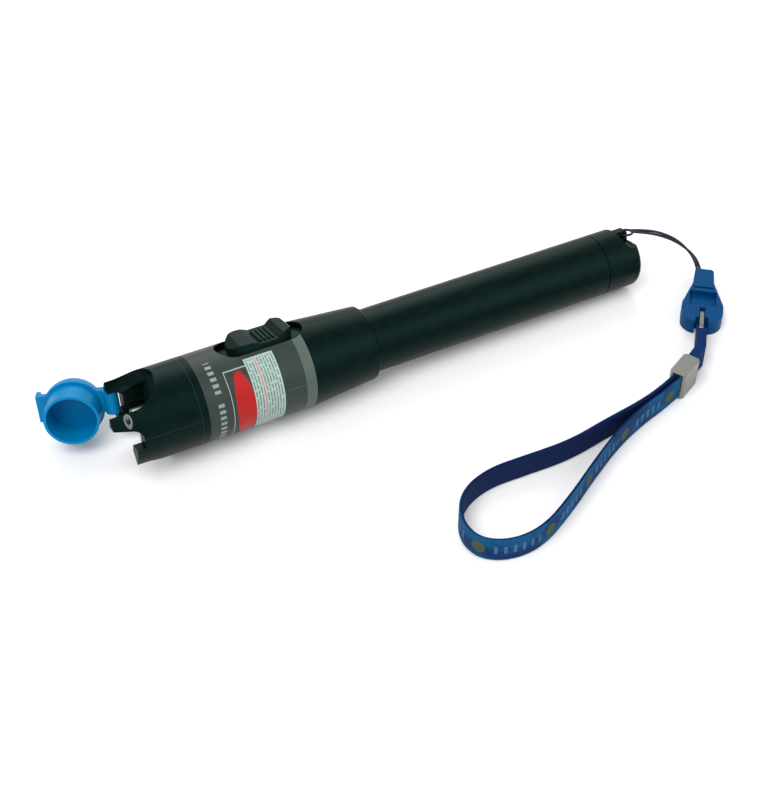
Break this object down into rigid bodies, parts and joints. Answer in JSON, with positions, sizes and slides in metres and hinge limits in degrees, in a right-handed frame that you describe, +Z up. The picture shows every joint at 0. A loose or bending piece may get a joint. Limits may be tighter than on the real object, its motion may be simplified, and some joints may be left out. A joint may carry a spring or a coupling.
{
  "type": "visual fault locator",
  "caption": "Pen-shaped fibre visual fault locator with a hinged dust cap over its ferrule port, a slide switch, a screw tail cap and a wrist lanyard.",
  "frame": {"origin": "on the resting surface, under the centre of the pen's own box (cap swung open, lanyard left out)", "axes": "+X along the pen towards the tail cap, +Y away from the lanyard side, +Z up; the pen lies on its widest ring and its tail, tipped 1.6 degrees, rolled 12 degrees about its length"},
  "size_m": [0.215, 0.1103, 0.0287],
  "materials": {
    "black_paint": "satin",
    "black_plastic": "matte",
    "buckle_blue": "satin",
    "label_film": "matte",
    "blue_plastic": "gloss",
    "steel": "polished",
    "brass": "satin",
    "ceramic": "gloss",
    "anodised": "satin",
    "lens_glass": "clear",
    "board": "satin",
    "dark_plastic": "matte",
    "cell_wrap": "gloss",
    "webbing": "woven",
    "cord": "braided",
    "crimp_metal": "brushed"
  },
  "bodies": {
    "pen": {"nose_upper": "black_paint", "nose_lower": "black_paint", "port_plate": "black_plastic", "hinge_pin": "steel", "guard_pin": "steel", "ferrule_adapter": "steel", "ceramic_sleeve": "ceramic", "laser_housing": "brass", "focusing_lens": "lens_glass", "laser_diode": "brass", "front_barrel": "black_paint", "wrap_label": "label_film", "switch_tray": "black_plastic", "driver_board": "board", "slide_switch": "dark_plastic", "front_contact": "steel", "battery_tube": "black_paint", "battery_front": "cell_wrap", "battery_rear": "cell_wrap"},
    "slider": {"switch_slider": "black_plastic"},
    "cap": {"dust_cap": "blue_plastic"},
    "tail": {"tail_cap": "black_paint", "tail_contact": "brass", "tail_spring": "steel", "lanyard_string": "cord", "buckle": "buckle_blue", "swivel_ring": "steel", "strap_tab": "webbing", "strap_crimp": "crimp_metal", "wrist_strap": "webbing"}
  },
  "joints": [
    {"name": "switch_slide", "type": "slide", "parent": "pen", "child": "slider", "axis": [0.9996, 0, -0.0283], "range_m": [-0.003, 0.003]},
    {"name": "cap_hinge", "type": "hinge", "parent": "pen", "child": "cap", "pos_m": [-0.07562, 0.00511, 0.01369], "axis": [0.0277, 0.2079, 0.9778], "range_deg": [-8, 115]},
    {"name": "tail_unscrew", "type": "slide", "parent": "pen", "child": "tail", "axis": [0.9996, 0, -0.0283], "range_m": [0, 0.012]}
  ]
}
